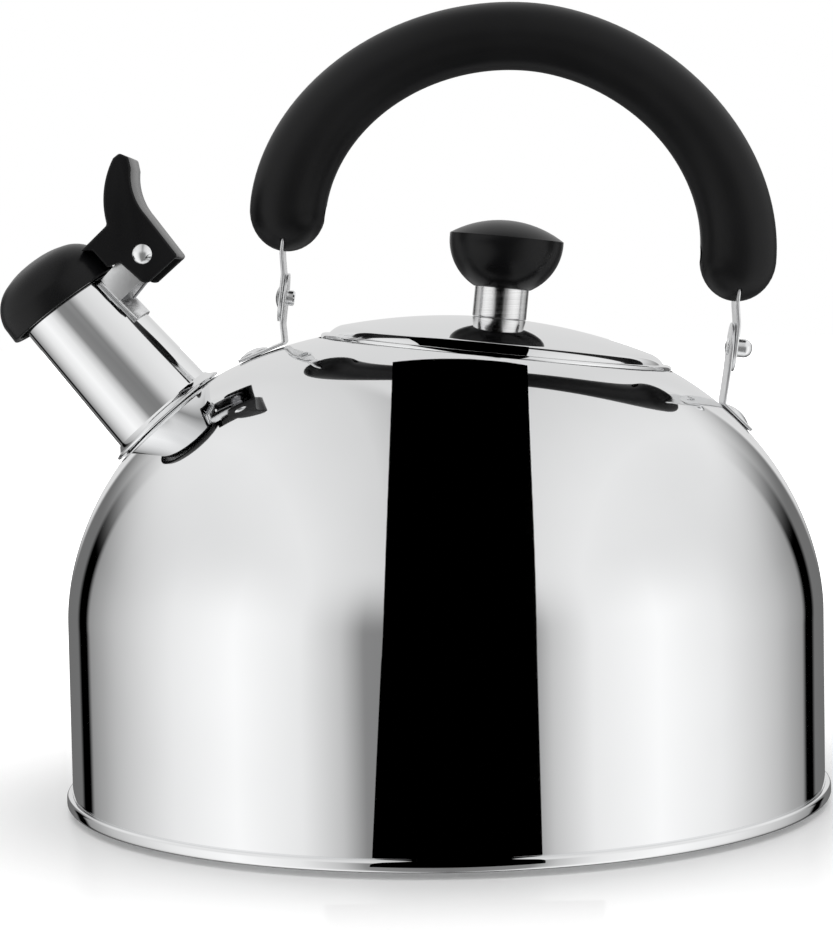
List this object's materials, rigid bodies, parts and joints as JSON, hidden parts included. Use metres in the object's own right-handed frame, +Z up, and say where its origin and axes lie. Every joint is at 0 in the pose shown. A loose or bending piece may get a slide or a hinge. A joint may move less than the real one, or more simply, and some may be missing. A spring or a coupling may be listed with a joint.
{
  "type": "stovetop whistling kettle",
  "caption": "Domed polished-steel stovetop kettle with a folding bow handle, lift-off crowned lid with knob, and a slanted spout with a sprung whistle cap opened by a thumb lever.",
  "frame": {"origin": "centre of the foot, on the surface it stands on", "axes": "+Z up; the spout points to -X and the rear end of the handle to +X"},
  "size_m": [0.2368, 0.2204, 0.2282],
  "materials": {
    "steel": "mirror polished",
    "turned_steel": "fine turned and polished",
    "strap_steel": "bright rolled sheet",
    "fastener_steel": "bright plated",
    "spring_wire": "drawn wire",
    "aluminium": "plain",
    "black_moulding": "satin gloss heat-resistant moulding",
    "grip_black": "satin heat-resistant moulding"
  },
  "bodies": {
    "kettle": {"base_cover": "steel", "heat_disc": "aluminium", "base_pan": "steel", "body_shell": "steel", "spout_collar": "steel", "spout_tube": "steel", "hinge_clip": "strap_steel", "lever_rivet": "fastener_steel", "lever_spring": "spring_wire", "front_bracket": "strap_steel", "rear_bracket": "strap_steel", "front_foot_rivet": "fastener_steel", "rear_foot_rivet": "fastener_steel", "front_pivot_rivet": "fastener_steel", "rear_pivot_screw": "fastener_steel", "rear_cap_nut": "fastener_steel"},
    "handle": {"grip": "grip_black", "front_strap": "strap_steel", "rear_strap": "strap_steel", "front_grip_screw": "fastener_steel", "rear_grip_screw": "fastener_steel"},
    "whistle": {"whistle_cap": "black_moulding", "whistle_seat_plate": "strap_steel", "whistle_front_plate": "strap_steel"},
    "lid": {"lid_shell": "steel", "lid_skirt": "steel", "knob_ferrule": "turned_steel", "knob": "black_moulding", "knob_washer": "fastener_steel", "knob_screw": "fastener_steel"}
  },
  "joints": [
    {"name": "handle_fold", "type": "hinge", "parent": "kettle", "child": "handle", "pos_m": [0.01955, 0, 0.137], "axis": [0.9917, 0, -0.1288], "range_deg": [-90, 90]},
    {"name": "lid_lift", "type": "slide", "parent": "kettle", "child": "lid", "axis": [0.1132, 0, 0.9936], "range_m": [0, 0.03]},
    {"name": "whistle_lever", "type": "hinge", "parent": "kettle", "child": "whistle", "pos_m": [-0.08395, 0, 0.15837], "axis": [0, 1, 0], "range_deg": [0, 50], "stiffness_Nm_per_rad": 0.03, "springref_deg": -45.84, "deforming": ["lever_spring"]}
  ]
}
